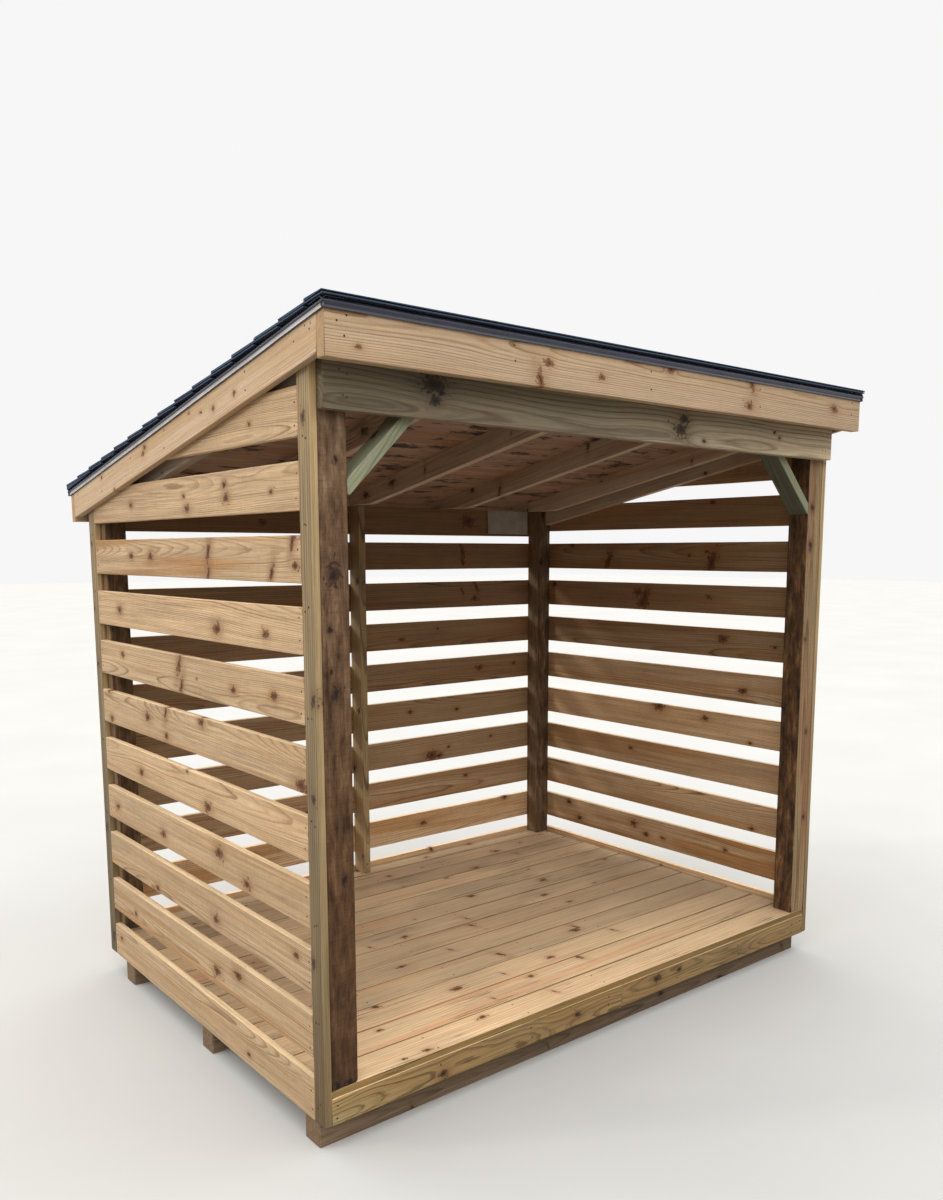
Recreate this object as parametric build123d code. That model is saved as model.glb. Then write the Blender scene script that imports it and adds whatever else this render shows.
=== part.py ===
from build123d import *
import os

# Open-fronted firewood store: slatted walls on a skid floor under one sloping shingled roof.
# Lengths are in mm. While building, X=0 is the left wall's outer face, Y=0 is the front plane
# and Z=0 is the ground; export() then moves every piece to the shared frame.

# Overall sizes between outer wall faces
WIDTH = 2594.0
DEPTH = 1863.0

# Timber sections
STUD_THICK = 38.0
STUD_WIDTH = 89.0
FRONT_POST = 98.0
PLANK_WIDTH = 140.0
BOARD_THICK = 25.4
BOARD_WIDTH = 139.7

# Floor
SKID_HEIGHT = 89.0
SKID_FRONT_INSET = 48.0
SKID_BACK_INSET = 162.0
SKID_LEFT_INSET = 6.0
SKID_RIGHT_INSET = 31.0
RIM_JOINT_X = 1337.0
JOIST_SPACING = 406.4
DECK_OVERHANG = 6.0
DECK_GAP = 5.0

# Walls
SLAT_GAP = 69.9
TRIM_WIDTH = 64.0
BRACE_REACH = 234.0
BRACE_NOSE = 8.0
BRACE_TOP_DROP = 30.0

# Roof: the rafters' top plane crosses the front plane at this height above the floor rim
SLOPE = 2.25 / 12.0
RAFTER_TOP_LIFT = 2391.0
FRONT_HEADER_DROP = 86.0
SEAT_DEPTH = 42.0
INNER_RAFTERS = 4
LAST_BAY = 66.8
FRONT_OVERHANG = 134.0
BACK_OVERHANG = 135.0
BARGE_HEIGHT = 110.0
FRONT_FASCIA_HEIGHT = 133.0
BACK_FASCIA_HEIGHT = 119.0
SHEATHING_RISE = 18.0
DRIP_THICK = 2.0
DRIP_KICK = 8.0
DRIP_LEG = 28.0
DRIP_FLANGE = 60.0

# Shingles
COURSE_PITCH = 147.8
SHINGLE_BASE = 16.0
SHINGLE_STEP = 8.0
SHINGLE_LIP = 3.0
SHINGLE_BACK_LIP = 9.0

# Values that follow from the ones above
SKID_FRONT = SKID_FRONT_INSET
SKID_BACK = DEPTH - SKID_BACK_INSET - STUD_WIDTH
SKID_MIDDLE = (SKID_FRONT + SKID_BACK) / 2
SLAT_PITCH = BOARD_WIDTH + SLAT_GAP
RIM_BOTTOM = SKID_HEIGHT
RIM_TOP = RIM_BOTTOM + STUD_WIDTH
DECK_TOP = RIM_TOP + BOARD_THICK
INNER_LEFT = BOARD_THICK
INNER_RIGHT = WIDTH - BOARD_THICK
INNER_BACK = DEPTH - BOARD_THICK
POST_LEFT = INNER_LEFT + FRONT_POST
BACK_POST_FRONT = INNER_BACK - STUD_WIDTH
RUN = (1.0 + SLOPE**2) ** 0.5
ROOF_FRONT = -FRONT_OVERHANG
ROOF_BACK = DEPTH + BACK_OVERHANG
ROOF_LEFT = -BOARD_THICK
ROOF_RIGHT = WIDTH + BOARD_THICK
FRONT_FASCIA_BACK = ROOF_FRONT + STUD_THICK
BACK_FASCIA_FRONT = ROOF_BACK - STUD_THICK
BACK_HEADER_BACK = INNER_BACK + STUD_THICK
RAFTER_TOP = RIM_BOTTOM + RAFTER_TOP_LIFT
SHEATHING_TOP = RAFTER_TOP + SHEATHING_RISE
END_RAFTER_BOTTOM = RAFTER_TOP - PLANK_WIDTH * RUN
INNER_RAFTER_BOTTOM = RAFTER_TOP - STUD_WIDTH * RUN
BARGE_BOTTOM = RAFTER_TOP - BARGE_HEIGHT
FRONT_HEADER_TOP = RAFTER_TOP - FRONT_HEADER_DROP
FRONT_HEADER_BOTTOM = FRONT_HEADER_TOP - PLANK_WIDTH
BACK_HEADER_TOP = RAFTER_TOP - SLOPE * BACK_HEADER_BACK - SEAT_DEPTH
BACK_HEADER_BOTTOM = BACK_HEADER_TOP - PLANK_WIDTH
FRONT_FASCIA_BOTTOM = RAFTER_TOP - SLOPE * ROOF_FRONT - FRONT_FASCIA_HEIGHT
BACK_FASCIA_BOTTOM = RAFTER_TOP - SLOPE * ROOF_BACK - BACK_FASCIA_HEIGHT
RAFTER_SPACING = (INNER_RIGHT - STUD_THICK - LAST_BAY - INNER_LEFT) / INNER_RAFTERS
DRIP_OUT = DRIP_KICK + DRIP_THICK
DRIP_LEFT = ROOF_LEFT - DRIP_OUT
DRIP_RIGHT = ROOF_RIGHT + DRIP_OUT
DRIP_FRONT = ROOF_FRONT - DRIP_OUT
DRIP_BACK = ROOF_BACK + DRIP_OUT
SHINGLE_LEFT = DRIP_LEFT - SHINGLE_LIP
SHINGLE_RIGHT = DRIP_RIGHT + SHINGLE_LIP
SHINGLE_FRONT = DRIP_FRONT - SHINGLE_LIP
SHINGLE_BACK = DRIP_BACK + SHINGLE_BACK_LIP

# Shared frame: X and Y centred on the bounding box, Z=0 on the ground
CENTRE = Vector((SHINGLE_LEFT + SHINGLE_RIGHT) / 2, (SHINGLE_FRONT + SHINGLE_BACK) / 2, 0)


def box(x0, x1, y0, y1, z0, z1):
    """A block between opposite corners."""
    size = (x1 - x0, y1 - y0, z1 - z0)
    return Pos(x0, y0, z0) * Box(*size, align=(Align.MIN, Align.MIN, Align.MIN))


def side_profile(points, x0, x1):
    """A solid with an outline in the YZ plane, from x0 to x1."""
    outline = Polyline(*[(x0, y, z) for y, z in points], close=True)
    return extrude(make_face(outline), amount=x1 - x0, dir=(1, 0, 0))


def front_profile(points, y0, y1):
    """A solid with an outline in the XZ plane, from y0 to y1."""
    outline = Polyline(*[(x, y0, z) for x, z in points], close=True)
    return extrude(make_face(outline), amount=y1 - y0, dir=(0, 1, 0))


def falling(height, y):
    """Height at y of a roof plane that stands at this height over the front plane."""
    return height - SLOPE * y


def sloped(x0, x1, y0, y1, low, high):
    """A solid with plumb ends between two roof planes."""
    points = [
        (y0, falling(low, y0)),
        (y1, falling(low, y1)),
        (y1, falling(high, y1)),
        (y0, falling(high, y0)),
    ]
    return side_profile(points, x0, x1)


def under_roof(x0, x1, y0, y1, z0, high):
    """An upright with a level foot whose top is cut along a roof plane."""
    points = [(y0, z0), (y1, z0), (y1, falling(high, y1)), (y0, falling(high, y0))]
    return side_profile(points, x0, x1)


def mirrored(piece):
    """The same piece on the other side of the building's middle plane."""
    return mirror(piece, about=Plane.YZ.offset(WIDTH / 2))


def export(node, solids):
    """Write one node's solids in the shared frame."""
    moved = [Pos(-CENTRE.X, -CENTRE.Y, 0) * solid for piece in solids for solid in piece.solids()]
    shape = moved[0] if len(moved) == 1 else Compound(children=moved)
    shape.label = node
    export_step(shape, f"parts/{node}.step")


def export_pair(name, piece):
    """Write a left piece and its mirror image on the right."""
    export(f"left_{name}", [piece])
    export(f"right_{name}", [mirrored(piece)])


os.makedirs("parts", exist_ok=True)

# Skids
skid_right = WIDTH - SKID_RIGHT_INSET
for node, front in (("front_skid", SKID_FRONT), ("middle_skid", SKID_MIDDLE), ("back_skid", SKID_BACK)):
    export(node, [box(SKID_LEFT_INSET, skid_right, front, front + STUD_WIDTH, 0, SKID_HEIGHT)])

# Floor frame
export("front_rim_left", [box(INNER_LEFT, RIM_JOINT_X, 0, STUD_THICK, RIM_BOTTOM, RIM_TOP)])
export("front_rim_right", [box(RIM_JOINT_X, INNER_RIGHT, 0, STUD_THICK, RIM_BOTTOM, RIM_TOP)])
joist_back = INNER_BACK - STUD_THICK
export("back_rim", [box(INNER_LEFT, INNER_RIGHT, joist_back, INNER_BACK, RIM_BOTTOM, RIM_TOP)])
export_pair("rim", box(INNER_LEFT, INNER_LEFT + STUD_THICK, STUD_THICK, joist_back, RIM_BOTTOM, RIM_TOP))
joists = []
joist_x = INNER_LEFT + JOIST_SPACING
while joist_x + STUD_THICK < INNER_RIGHT - STUD_THICK:
    joists.append(box(joist_x, joist_x + STUD_THICK, STUD_THICK, joist_back, RIM_BOTTOM, RIM_TOP))
    joist_x += JOIST_SPACING
export("floor_joists", joists)

# Deck boards, the last one ripped to meet the back wall
deck = []
board_y = -DECK_OVERHANG
while board_y < INNER_BACK:
    board_end = min(board_y + BOARD_WIDTH, INNER_BACK)
    deck.append(box(INNER_LEFT, INNER_RIGHT, board_y, board_end, RIM_TOP, DECK_TOP))
    board_y += BOARD_WIDTH + DECK_GAP
export("deck_boards", deck)

# Posts and the middle stud
front_post = under_roof(INNER_LEFT, POST_LEFT, 0, FRONT_POST, DECK_TOP, END_RAFTER_BOTTOM)
export("front_left_post", [front_post])
export("front_right_post", [mirrored(front_post)])
back_post = box(INNER_LEFT, INNER_LEFT + STUD_WIDTH, BACK_POST_FRONT, INNER_BACK, DECK_TOP, BACK_HEADER_TOP)
export("back_left_post", [back_post])
export("back_right_post", [mirrored(back_post)])
stud_left = (WIDTH - STUD_THICK) / 2
stud = box(stud_left, stud_left + STUD_THICK, BACK_POST_FRONT, INNER_BACK, DECK_TOP, BACK_HEADER_TOP)
export("back_middle_stud", [stud])

# Corner trims run up behind the barge boards
trim_back = DEPTH - TRIM_WIDTH
for name, y0, y1 in (("front", 0, TRIM_WIDTH), ("back", trim_back, DEPTH)):
    trim = under_roof(0, INNER_LEFT, y0, y1, RIM_BOTTOM, RAFTER_TOP)
    export(f"{name}_left_trim", [trim])
    export(f"{name}_right_trim", [mirrored(trim)])

# Wall slats, as many as start below the barge board, the upper ones cut along the roof
below_roof = under_roof(-BOARD_THICK, POST_LEFT, 0, DEPTH, 0, RAFTER_TOP)
side_slats = []
low = RIM_BOTTOM
while low < falling(BARGE_BOTTOM, TRIM_WIDTH):
    slat = box(0, INNER_LEFT, TRIM_WIDTH, trim_back, low, low + BOARD_WIDTH)
    side_slats.append(slat & below_roof)
    low += SLAT_PITCH
export("left_wall_slats", side_slats)
export("right_wall_slats", [mirrored(slat) for slat in side_slats])
back_slats = []
low = RIM_BOTTOM
while low + BOARD_WIDTH < BACK_HEADER_BOTTOM:
    back_slats.append(box(INNER_LEFT, INNER_RIGHT, INNER_BACK, DEPTH, low, low + BOARD_WIDTH))
    low += SLAT_PITCH
export("back_wall_slats", back_slats)

# Headers
front_header = box(INNER_LEFT, INNER_RIGHT, -STUD_THICK, 0, FRONT_HEADER_BOTTOM, FRONT_HEADER_TOP)
back_header = box(INNER_LEFT, INNER_RIGHT, INNER_BACK, BACK_HEADER_BACK, BACK_HEADER_BOTTOM, BACK_HEADER_TOP)
export("front_header", [front_header])
export("back_header", [back_header])

# Knee braces at 45 degrees between the front posts and the front header
brace_foot = FRONT_HEADER_BOTTOM - BRACE_REACH
brace_top = FRONT_HEADER_TOP - BRACE_TOP_DROP
brace_face = STUD_THICK * 2**0.5
foot_start = brace_foot - BRACE_NOSE
brace_points = [
    (POST_LEFT, brace_foot),
    (POST_LEFT + BRACE_NOSE, brace_foot),
    (POST_LEFT + brace_top - foot_start, brace_top),
    (POST_LEFT + brace_top - foot_start - brace_face, brace_top),
    (POST_LEFT, foot_start + brace_face),
]
export_pair("brace", front_profile(brace_points, 0, STUD_WIDTH))

# Rafters, notched over the front header and seated level on the back header
front_notch = box(0, WIDTH, -STUD_THICK, 0, 0, FRONT_HEADER_TOP)
end_seat = box(0, WIDTH, BACK_POST_FRONT, BACK_HEADER_BACK, 0, BACK_HEADER_TOP)
end_tail = box(0, WIDTH, BACK_HEADER_BACK, ROOF_BACK, 0, BACK_FASCIA_BOTTOM)
end_nose = sloped(
    INNER_LEFT, INNER_LEFT + STUD_THICK, FRONT_FASCIA_BACK, -STUD_THICK, END_RAFTER_BOTTOM, INNER_RAFTER_BOTTOM
)
end_blank = sloped(
    INNER_LEFT, INNER_LEFT + STUD_THICK, FRONT_FASCIA_BACK, BACK_FASCIA_FRONT, END_RAFTER_BOTTOM, RAFTER_TOP
)
export_pair("end_rafter", end_blank - end_nose - front_notch - end_seat - end_tail)
inner_seat = box(0, WIDTH, 0, BACK_HEADER_BACK, 0, BACK_HEADER_TOP)
for number in range(1, INNER_RAFTERS + 1):
    left = INNER_LEFT + number * RAFTER_SPACING
    blank = sloped(
        left, left + STUD_THICK, FRONT_FASCIA_BACK, BACK_FASCIA_FRONT, INNER_RAFTER_BOTTOM, RAFTER_TOP
    )
    export(f"rafter_{number}", [blank - front_notch - inner_seat])

# Fascias and barge boards
front_fascia = under_roof(
    ROOF_LEFT, ROOF_RIGHT, ROOF_FRONT, FRONT_FASCIA_BACK, FRONT_FASCIA_BOTTOM, RAFTER_TOP
)
back_fascia = under_roof(
    ROOF_LEFT, ROOF_RIGHT, BACK_FASCIA_FRONT, ROOF_BACK, BACK_FASCIA_BOTTOM, RAFTER_TOP
)
export("front_fascia", [front_fascia])
export("back_fascia", [back_fascia])
export_pair(
    "barge_board", sloped(ROOF_LEFT, 0, FRONT_FASCIA_BACK, BACK_FASCIA_FRONT, BARGE_BOTTOM, RAFTER_TOP)
)

# Sheathing
export("roof_sheathing", [sloped(ROOF_LEFT, ROOF_RIGHT, ROOF_FRONT, ROOF_BACK, RAFTER_TOP, SHEATHING_TOP)])

# Drip edges: a flange on the sheathing that runs out past its edge and turns down
drip_top = SHEATHING_TOP + DRIP_THICK
drip_foot = drip_top - DRIP_LEG
front_leg = sloped(DRIP_LEFT, DRIP_RIGHT, DRIP_FRONT, DRIP_FRONT + DRIP_THICK, drip_foot, drip_top)
front_flange = sloped(DRIP_LEFT, DRIP_RIGHT, DRIP_FRONT, ROOF_FRONT + DRIP_FLANGE, SHEATHING_TOP, drip_top)
front_drip = front_leg + front_flange
back_leg = sloped(DRIP_LEFT, DRIP_RIGHT, DRIP_BACK - DRIP_THICK, DRIP_BACK, drip_foot, drip_top)
back_flange = sloped(DRIP_LEFT, DRIP_RIGHT, ROOF_BACK - DRIP_FLANGE, DRIP_BACK, SHEATHING_TOP, drip_top)
back_drip = back_leg + back_flange
side_leg = sloped(
    DRIP_LEFT, DRIP_LEFT + DRIP_THICK, DRIP_FRONT + DRIP_THICK, DRIP_BACK - DRIP_THICK, drip_foot, SHEATHING_TOP
)
side_flange = sloped(
    DRIP_LEFT, ROOF_LEFT + DRIP_FLANGE, ROOF_FRONT + DRIP_FLANGE, ROOF_BACK - DRIP_FLANGE, SHEATHING_TOP, drip_top
)
left_drip = side_leg + side_flange
right_drip = mirrored(left_drip)
export("front_drip_edge", [front_drip])
export("back_drip_edge", [back_drip])
export("left_drip_edge", [left_drip])
export("right_drip_edge", [right_drip])

# Shingles: each course is thickest at its lower edge, where it laps the course below
shingle_points = [
    (SHINGLE_BACK, falling(SHEATHING_TOP, SHINGLE_BACK)),
    (SHINGLE_FRONT, falling(SHEATHING_TOP, SHINGLE_FRONT)),
]
course_low = SHEATHING_TOP + SHINGLE_BASE
course_top = course_low + SHINGLE_STEP
edges = [SHINGLE_BACK]
while edges[-1] - COURSE_PITCH > SHINGLE_FRONT:
    edges.append(edges[-1] - COURSE_PITCH)
edges.append(SHINGLE_FRONT)
for lower, upper in reversed(list(zip(edges, edges[1:]))):
    shingle_points.append((upper, falling(course_low, upper)))
    shingle_points.append((lower, falling(course_top, lower)))
shingles = side_profile(shingle_points, SHINGLE_LEFT, SHINGLE_RIGHT)
export("roof_shingles", [shingles - front_drip - back_drip - left_drip - right_drip])
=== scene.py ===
import math
import random

import bmesh
import bpy
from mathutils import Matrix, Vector, noise

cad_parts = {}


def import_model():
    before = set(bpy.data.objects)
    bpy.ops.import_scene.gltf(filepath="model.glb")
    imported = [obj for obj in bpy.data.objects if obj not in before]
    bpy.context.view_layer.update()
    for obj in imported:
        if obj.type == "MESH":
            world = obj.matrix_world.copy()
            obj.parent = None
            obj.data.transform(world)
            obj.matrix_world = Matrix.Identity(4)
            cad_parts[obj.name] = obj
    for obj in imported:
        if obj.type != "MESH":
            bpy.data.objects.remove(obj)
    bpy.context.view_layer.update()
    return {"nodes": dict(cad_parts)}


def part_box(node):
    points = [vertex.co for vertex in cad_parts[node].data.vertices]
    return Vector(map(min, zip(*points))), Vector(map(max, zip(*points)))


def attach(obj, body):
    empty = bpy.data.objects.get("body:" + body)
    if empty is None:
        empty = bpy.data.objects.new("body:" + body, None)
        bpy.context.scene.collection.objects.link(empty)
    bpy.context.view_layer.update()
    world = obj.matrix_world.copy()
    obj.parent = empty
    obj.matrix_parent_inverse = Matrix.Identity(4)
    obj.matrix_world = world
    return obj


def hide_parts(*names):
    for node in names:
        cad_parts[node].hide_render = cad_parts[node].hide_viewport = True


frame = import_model()

# Building sizes in metres, in the row frame
SLOPE = 2.25 / 12.0
PITCH_ANGLE = math.atan(SLOPE)
LEFT_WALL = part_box("left_wall_slats")[0][0]
RIGHT_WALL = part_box("right_wall_slats")[1][0]
FRONT_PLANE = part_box("front_left_post")[0][1]
BACK_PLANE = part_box("back_wall_slats")[1][1]
RIM_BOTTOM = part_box("front_rim_left")[0][2]
ROOF_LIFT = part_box("front_left_trim")[1][2]
SLAT_PITCH = 0.2096

X = Vector((1, 0, 0))
Y = Vector((0, 1, 0))
Z = Vector((0, 0, 1))
DOWN_ROOF = Vector((0, math.cos(PITCH_ANGLE), -math.sin(PITCH_ANGLE)))
OUT_OF_ROOF = Vector((0, math.sin(PITCH_ANGLE), math.cos(PITCH_ANGLE)))
DIAGONAL = Vector((1, 0, 1)).normalized()
ANTIDIAGONAL = Vector((-1, 0, 1)).normalized()


# Node helpers

class Tree:
    """Short calls for building the nodes of one material or world."""

    def __init__(self, owner):
        owner.use_nodes = True
        self.owner = owner
        self.nodes = owner.node_tree.nodes
        self.links = owner.node_tree.links
        self.nodes.clear()

    def add(self, kind, inputs=(), **settings):
        """A node with its settings; inputs are fed in order, or by key when they are a dict."""
        node = self.nodes.new(kind)
        for key, value in settings.items():
            setattr(node, key, value)
        for key, value in inputs.items() if isinstance(inputs, dict) else enumerate(inputs):
            if isinstance(value, bpy.types.NodeSocket):
                self.links.new(value, node.inputs[key])
            elif value is not None:
                colour = node.inputs[key].type == "RGBA"
                node.inputs[key].default_value = (*value, 1.0) if colour else value
        return node

    def math(self, operation, *inputs, clamp=False):
        return self.add("ShaderNodeMath", inputs, operation=operation, use_clamp=clamp).outputs[0]

    def mul(self, a, b, clamp=False):
        return self.math("MULTIPLY", a, b, clamp=clamp)

    def muladd(self, a, b, c):
        return self.math("MULTIPLY_ADD", a, b, c)

    def sub(self, a, b):
        return self.math("SUBTRACT", a, b)

    def vector(self, operation, a, b=None, scale=None):
        node = self.add("ShaderNodeVectorMath", (a, b, None, scale), operation=operation)
        return node.outputs["Value" if operation == "DOT_PRODUCT" else "Vector"]

    def split(self, vector):
        return tuple(self.add("ShaderNodeSeparateXYZ", (vector,)).outputs)

    def join(self, *parts):
        return self.add("ShaderNodeCombineXYZ", parts).outputs[0]

    def attribute(self, name, output="Fac"):
        return self.add("ShaderNodeAttribute", attribute_name=name).outputs[output]

    def place(self, output="Object"):
        return self.add("ShaderNodeTexCoord").outputs[output]

    def noise(self, vector, scale=1.0, detail=2.0, rough=0.5, output="Fac"):
        inputs = {"Vector": vector, "Scale": scale, "Detail": detail, "Roughness": rough}
        return self.add("ShaderNodeTexNoise", inputs).outputs[output]

    def mix(self, factor, a, b, blend="MIX"):
        inputs = {0: factor, 6: a, 7: b}
        return self.add("ShaderNodeMix", inputs, data_type="RGBA", blend_type=blend).outputs[2]

    def step(self, value, low, high, out_low=0.0, out_high=1.0):
        inputs = (value, low, high, out_low, out_high)
        return self.add("ShaderNodeMapRange", inputs, interpolation_type="SMOOTHSTEP").outputs[0]

    def ramp(self, factor, stops):
        node = self.add("ShaderNodeValToRGB", (factor,))
        elements = node.color_ramp.elements
        while len(elements) < len(stops):
            elements.new(0.5)
        for element, (place, colour) in zip(elements, stops):
            element.position = place
            element.color = (*colour, 1.0)
        return node.outputs[0]

    def bump(self, height, distance, strength=1.0):
        inputs = {"Height": height, "Distance": distance, "Strength": strength}
        return self.add("ShaderNodeBump", inputs).outputs[0]

    def surface(self, **inputs):
        named = {name.replace("_", " "): value for name, value in inputs.items()}
        shader = self.add("ShaderNodeBsdfPrincipled", named)
        self.add("ShaderNodeOutputMaterial", (shader.outputs[0],))
        return self.owner


def fresh(name):
    return Tree(bpy.data.materials.new(name))


# Materials

KNOTS = 8


def wood(name, early, late, warm, wear_and_highlight, knot, ring=0.75, streak=0.3, fibre=0.22, rough=0.62, crack=0.0,
         relief=0.0005, edge=None, edge_share=0.0, weathered=None, shade_and_weathering=None, patches=0.0, chatter=0.0,
         halo_share=0.62, band=0.0, figure=1.0, ripple_height=0.0017, bright_end=(0.72, 0.68, 0.62),
         slot=None):
    """Sawn timber: growth rings round a wandering pith, knots, heart bands, fibre and end grain.

    The five colours are those of pale and dark wood within a year, heartwood, wood with wear, and knots.
    Gives the material and its slot, which has the material's name unless it is given.
    """
    t = fresh(name)
    grain = t.attribute("grain", "Vector")
    seed = t.attribute("seed")
    pith_v, pith_w, ring_width = t.split(t.attribute("pith", "Vector"))
    lightness, warmth, wear = t.split(t.attribute("tone", "Vector"))
    end = t.attribute("end")
    u, v, w = t.split(grain)
    offset = t.join(t.mul(seed, 37.1), t.mul(seed, 91.7), t.mul(seed, 53.3))

    def stretched(along, across, shift=0.0):
        place = t.vector("ADD", t.vector("MULTIPLY", grain, (along, across, across)), offset)
        return t.vector("ADD", place, (shift, shift, shift)) if shift else place

    def swing(pattern, amount, base):
        return t.muladd(t.sub(pattern, 0.5), 2.0 * amount, base)

    # Knots: a core, a dark rim, a soft halo, and rings that bend round them.
    # A negative radius is a spike knot, which runs across the board.
    wobble = t.noise(stretched(60.0, 75.0), rough=0.6)
    wobble = t.muladd(wobble, 2.2, -0.3)
    core = halo = swell = None
    for index in range(KNOTS):
        ku, kv, kr = t.split(t.attribute(f"knot{index}", "Vector"))
        size = t.math("ABSOLUTE", kr)
        spike = t.math("LESS_THAN", kr, 0.0)
        dv = t.sub(v, kv)
        du = t.muladd(t.mul(dv, spike), 0.32, t.sub(u, ku))
        long = t.mul(du, t.muladd(spike, 0.16, 0.64))
        tall = t.mul(dv, t.muladd(spike, -0.66, 1.0))
        squared = t.muladd(long, long, t.mul(tall, tall))
        relative = t.mul(t.math("DIVIDE", t.math("SQRT", squared), size), wobble)
        relative = t.mul(relative, t.muladd(spike, 0.35, 1.0))
        spread = t.math("DIVIDE", squared, t.mul(t.mul(size, size), 5.5))
        this_halo = t.math("EXPONENT", t.mul(spread, -1.0))
        swell_height = t.mul(size, t.muladd(spike, -0.45, 0.6))
        this_swell = t.mul(t.mul(this_halo, this_halo), swell_height)
        if core is None:
            core, halo, swell = relative, this_halo, this_swell
        else:
            core = t.math("MINIMUM", core, relative)
            halo = t.math("MAXIMUM", halo, this_halo)
            swell = t.math("ADD", swell, this_swell)
    heart_of_knot = t.step(core, 0.1, 0.55, 0.9, 0.0)
    rim = t.mul(t.step(core, 0.45, 0.70), t.step(core, 0.72, 1.15, 1.0, 0.0))
    core = t.step(core, 0.40, 1.05, 1.0, 0.0)

    # Growth rings
    wander = t.noise(stretched(0.95 * figure, 1.6), detail=1.0, output="Color")
    wander = t.vector("SUBTRACT", wander, (0.5, 0.5, 0.5))
    wander = t.vector("MULTIPLY", wander, (0.0, 0.05 * figure, 0.06 * figure))
    _, drift_v, drift_w = t.split(wander)
    from_v = t.math("ADD", t.sub(v, pith_v), drift_v)
    from_w = t.math("ADD", t.sub(w, pith_w), drift_w)
    radius = t.math("SQRT", t.muladd(from_v, from_v, t.mul(from_w, from_w)))
    ripple = t.noise(stretched(7.0, 55.0, 3.1), detail=3.0, rough=0.55)
    radius = t.muladd(ripple, ripple_height, radius)
    taper = t.mul(t.math("SINE", t.mul(seed, 5.0)), 0.03)
    radius = t.muladd(u, taper, radius)
    radius = t.math("ADD", radius, swell)
    phase = t.math("FRACT", t.math("DIVIDE", radius, ring_width))
    greys = [(0.0, 0.06), (0.5 - band, 0.12), (0.76 - band, 0.62), (0.86 - band / 2, 1.0)]
    greys += [(0.96, 0.85), (1.0, 0.06)]
    latewood = t.ramp(phase, [(place, (grey,) * 3) for place, grey in greys])
    inputs = {"W": t.muladd(radius, 60.0, seed), "Detail": 1.0}
    years = t.add("ShaderNodeTexNoise", inputs, noise_dimensions="1D")
    year_strength = t.step(years.outputs["Fac"], 0.25, 0.75, 0.35, 1.35)
    lines = t.mul(t.mul(latewood, year_strength), ring, clamp=True)

    # Colour
    bands = t.noise(stretched(0.7, 13.0, 7.7), rough=0.6)
    heart = t.mul(t.step(bands, 0.44, 0.62), warmth, clamp=True)
    streaks = t.noise(stretched(2.2, 95.0, 1.3), detail=3.0, rough=0.65)
    fibres = t.noise(stretched(24.0, 640.0, 5.9), rough=0.6)
    colour = t.mix(lines, early, late)
    colour = t.mix(heart, colour, t.mix(lines, warm, t.mix(0.55, warm, late, "MULTIPLY")))
    shade = swing(streaks, streak, 1.0)
    shade = swing(fibres, fibre, shade)
    if chatter:
        marks = t.noise(stretched(150.0, 17.0, 21.0), detail=4.0, rough=0.7)
        shade = swing(marks, chatter, shade)
    shade = t.mul(shade, lightness)
    blotch = t.noise(stretched(1.6, 4.5, 11.0), rough=0.55)
    worn_here = t.mul(t.step(blotch, 0.3, 0.7, 0.3, 1.0), wear, clamp=True)
    colour = t.mix(worn_here, colour, t.mix(lines, wear_and_highlight, t.mix(0.5, wear_and_highlight, late)))
    if weathered:
        face = t.attribute("weather_and_shade")
        grime = t.noise(stretched(9.0, 34.0, 31.0), detail=4.0, rough=0.68)
        aged_and_shaded = t.mix(warmth, t.ramp(grime, weathered), (1.0, 0.72, 0.46), "MULTIPLY")
        aged_and_shaded = t.mix(t.mul(lines, 0.4), aged_and_shaded, t.mix(0.7, aged_and_shaded, late, "MULTIPLY"))
        colour = t.mix(face, colour, aged_and_shaded)
    # Narrow faces take the edge colour: a painted highlight on the slats and rims, painted shade along the
    # deck boards' gaps and edges, a lighter colour on the trims and rafters
    if edge:
        colour = t.mix(t.mul(t.attribute("edge"), edge_share), colour, edge)
    # Faces marked for weather and shade are multiplied by this tint: painted shade on the walls' inner faces,
    # the back header and the right brace's underside, weathering on the trims
    if shade_and_weathering:
        colour = t.mix(t.attribute("weather_and_shade"), colour, shade_and_weathering, "MULTIPLY")
    smudge = t.mul(halo, t.muladd(streaks, 1.0, halo_share - 0.5), clamp=True)
    colour = t.mix(smudge, colour, t.mix(0.55, warm, knot))
    knot_rings = t.math("FRACT", t.mul(radius, 260.0))
    knot_colour = t.mix(t.mul(knot_rings, 0.4), knot, t.mix(0.4, knot, warm))
    knot_colour = t.mix(heart_of_knot, knot_colour, t.mix(0.75, knot, (0.010, 0.005, 0.003)))
    colour = t.mix(core, colour, knot_colour)
    colour = t.mix(t.mul(rim, 0.6), colour, t.mix(0.45, knot, (0.025, 0.011, 0.005)))
    if crack:
        checks = t.noise(stretched(1.1, 60.0, 17.0))
        gap = t.math("ABSOLUTE", t.sub(checks, 0.5))
        here = t.step(blotch, 0.5, 0.62)
        cracks = t.mul(t.step(gap, 0.004, 0.02, 1.0, 0.0), t.mul(here, crack))
        colour = t.mix(cracks, colour, (0.015, 0.01, 0.007))
    if patches:
        spots = t.noise(stretched(4.2, 12.0, 41.0), detail=5.0, rough=0.72)
        dark = t.mul(t.step(spots, 0.53, 0.61), patches)
        colour = t.mix(dark, colour, (0.02, 0.013, 0.01))
    colour = t.mix(end, colour, bright_end, "MULTIPLY")
    scaled = t.vector("SCALE", colour, scale=shade)

    # Relief
    height = t.muladd(streaks, 1.4, fibres)
    gloss = t.muladd(lines, -0.1, rough)
    gloss = t.muladd(streaks, 0.12, gloss)
    normal = t.bump(height, relief)
    material = t.surface(Base_Color=scaled, Roughness=gloss, Specular_IOR_Level=0.3, Normal=normal)
    return material, slot or name


# The slats' edge colour is a painted highlight on their narrow faces, and their shade tint is painted shade
# on inner faces
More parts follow.
